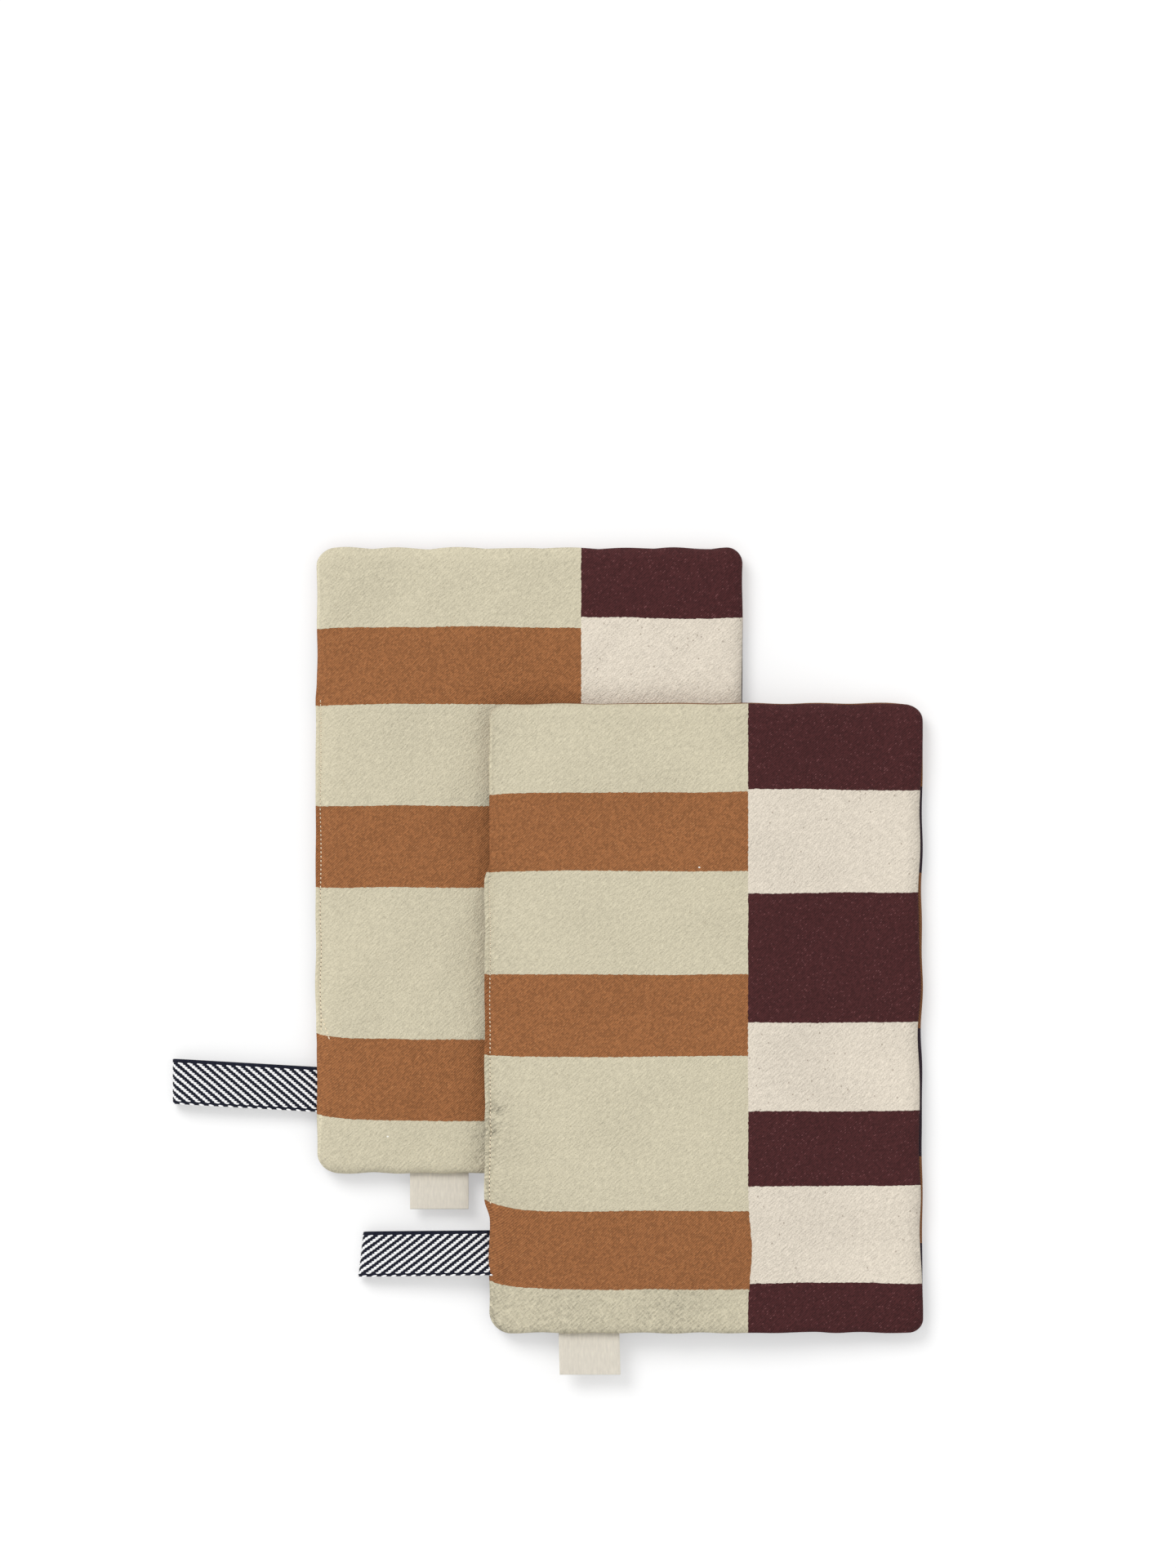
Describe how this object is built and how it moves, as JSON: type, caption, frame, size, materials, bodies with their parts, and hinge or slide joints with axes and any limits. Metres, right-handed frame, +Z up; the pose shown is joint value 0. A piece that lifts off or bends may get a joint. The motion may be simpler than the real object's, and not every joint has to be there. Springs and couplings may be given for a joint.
{
  "type": "oven mitt",
  "caption": "Pair of padded rectangular oven mitts in colour-blocked woven cloth, each with a folded tape hanging loop and a bare sewn-in tab.",
  "frame": {"origin": "on the surface they lie on, under the middle of the pair's box, loops and tabs included", "axes": "+X to the right and away from the hanging loops, +Y from the mouths towards the closed ends, +Z up"},
  "size_m": [0.3325, 0.3674, 0.0248],
  "materials": {
    "front_cloth": "colour-blocked woven cotton, matt",
    "back_cloth": "colour-blocked woven cotton, matt",
    "wadding": "felted cotton wadding",
    "lining": "plain-woven cotton, matt",
    "turned_edges": "overlocked raw edges",
    "loop_tape": "navy and white striped twill tape",
    "label_cotton": "bare unbleached cotton tape"
  },
  "bodies": {
    "lower_mitt": {"lower_front_cover": "front_cloth", "lower_front_wadding": "wadding", "lower_front_lining": "lining", "lower_back_lining": "lining", "lower_back_wadding": "wadding", "lower_back_cover": "back_cloth", "lower_seam_allowance": "turned_edges"},
    "upper_mitt": {"upper_front_cover": "front_cloth", "upper_front_wadding": "wadding", "upper_front_lining": "lining", "upper_back_lining": "lining", "upper_back_wadding": "wadding", "upper_back_cover": "back_cloth", "upper_seam_allowance": "turned_edges"},
    "lower_loop": {"lower_hanging_loop": "loop_tape"},
    "upper_loop": {"upper_hanging_loop": "loop_tape"},
    "lower_tab": {"lower_label": "label_cotton"},
    "upper_tab": {"upper_label": "label_cotton"}
  },
  "joints": [
    {"name": "upper_mitt_lift", "type": "slide", "parent": "lower_mitt", "child": "upper_mitt", "axis": [0, 0, 1], "range_m": [0, 0.12]},
    {"name": "lower_loop_hinge", "type": "hinge", "parent": "lower_mitt", "child": "lower_loop", "pos_m": [-0.10365, -0.05626, 0.0061], "axis": [0, 1, 0], "range_deg": [-75, 95]},
    {"name": "upper_loop_hinge", "type": "hinge", "parent": "upper_mitt", "child": "upper_loop", "pos_m": [-0.02715, -0.12916, 0.01138], "axis": [0, 1, 0], "range_deg": [-70, 100]},
    {"name": "lower_label_hinge", "type": "hinge", "parent": "lower_mitt", "child": "lower_tab", "pos_m": [-0.04795, -0.09501, 0.00885], "axis": [-1, 0, 0], "range_deg": [-50, 90]},
    {"name": "upper_label_hinge", "type": "hinge", "parent": "upper_mitt", "child": "upper_tab", "pos_m": [0.01855, -0.16591, 0.01345], "axis": [-1, 0, 0], "range_deg": [-50, 100]}
  ]
}
